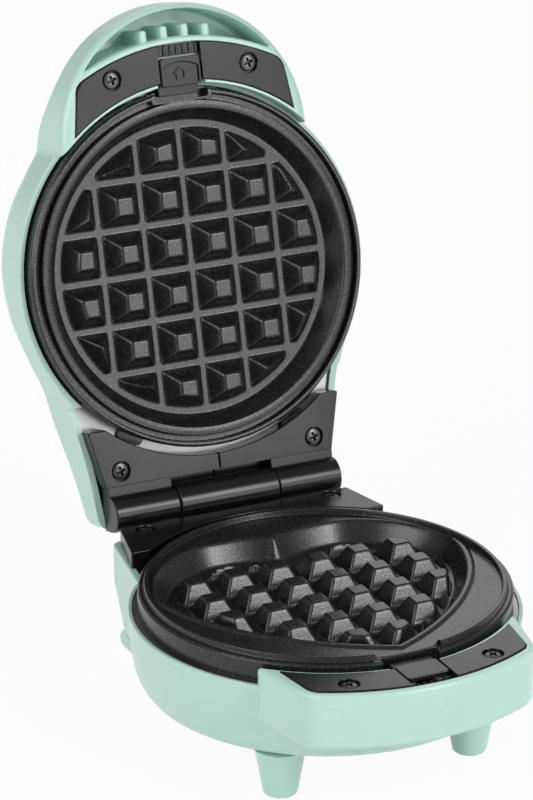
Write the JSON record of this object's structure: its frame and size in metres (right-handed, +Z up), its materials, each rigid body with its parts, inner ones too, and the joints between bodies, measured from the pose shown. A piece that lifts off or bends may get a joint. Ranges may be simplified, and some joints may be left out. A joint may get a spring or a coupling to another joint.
{
  "type": "mini waffle maker",
  "caption": "Small hinged waffle cooker: round base on legs with a heart-shaped waffle plate, and a round lid plate with a finger handle and sprung catches.",
  "frame": {"origin": "middle of the open appliance's bounding box, on the surface that it stands on", "axes": "+Z up, handle side at -Y, hinge and open lid at +Y, X from the user's left to right"},
  "size_m": [0.1344, 0.2254, 0.2252],
  "materials": {
    "mint_plastic": "satin moulded",
    "nonstick_cast": "speckled non-stick coating on cast aluminium",
    "black_plastic": "satin heat-resistant moulding",
    "sheet_metal": "plain sheet",
    "screw_steel": "dark plated",
    "spring_steel": "polished",
    "heater_sheath": "oxidised sheath",
    "insulator": "matt moulding",
    "wire_sleeve": "woven sleeve",
    "lamp_plastic": "clear gloss"
  },
  "bodies": {
    "base": {"base_shell": "mint_plastic", "bottom_cover": "mint_plastic", "bottom_cover_screw_front_left": "screw_steel", "bottom_cover_screw_front_right": "screw_steel", "bottom_cover_screw_rear_left": "screw_steel", "bottom_cover_screw_rear_right": "screw_steel", "base_liner": "sheet_metal", "lower_plate": "nonstick_cast", "lower_heating_element": "heater_sheath", "thermostat": "insulator", "thermal_fuse": "heater_sheath", "terminal_block": "insulator", "heater_lead_left": "wire_sleeve", "heater_lead_right": "wire_sleeve", "cord_gland": "black_plastic", "base_insert_left": "black_plastic", "base_insert_right": "black_plastic", "base_insert_screw_left": "screw_steel", "base_insert_screw_right": "screw_steel", "base_catch_guide": "black_plastic", "base_catch_spring": "spring_steel", "base_hinge_bracket": "black_plastic", "base_hinge_screw_left": "screw_steel", "base_hinge_screw_right": "screw_steel", "hinge_pin": "spring_steel"},
    "lid": {"lid_shell": "mint_plastic", "lid_liner": "sheet_metal", "upper_plate": "nonstick_cast", "upper_heating_element": "heater_sheath", "lid_insert_left": "black_plastic", "lid_insert_right": "black_plastic", "lid_insert_screw_left": "screw_steel", "lid_insert_screw_right": "screw_steel", "lid_catch_guide": "black_plastic", "lid_catch_spring": "spring_steel", "lid_hinge_bracket_left": "black_plastic", "lid_hinge_bracket_right": "black_plastic", "lid_hinge_screw_left": "screw_steel", "lid_hinge_screw_right": "screw_steel", "lamp_lens": "lamp_plastic", "lamp_body": "insulator"},
    "base_catch_slide_body": {"base_catch": "black_plastic"},
    "lid_catch_slide_body": {"lid_catch": "black_plastic"}
  },
  "joints": [
    {"name": "lid_hinge", "type": "hinge", "parent": "base", "child": "lid", "pos_m": [0, 0.05229, 0.0543], "axis": [1, 0, 0], "range_deg": [0, 103.84]},
    {"name": "base_catch_slide", "type": "slide", "parent": "base", "child": "base_catch_slide_body", "axis": [0, -1, 0], "range_m": [0, 0.003], "stiffness_N_per_m": 300, "springref_m": -0.003, "deforming": ["base_catch_spring"]},
    {"name": "lid_catch_slide", "type": "slide", "parent": "lid", "child": "lid_catch_slide_body", "axis": [0, 0.2392, 0.971], "range_m": [0, 0.003], "stiffness_N_per_m": 300, "springref_m": -0.003, "deforming": ["lid_catch_spring"]}
  ]
}
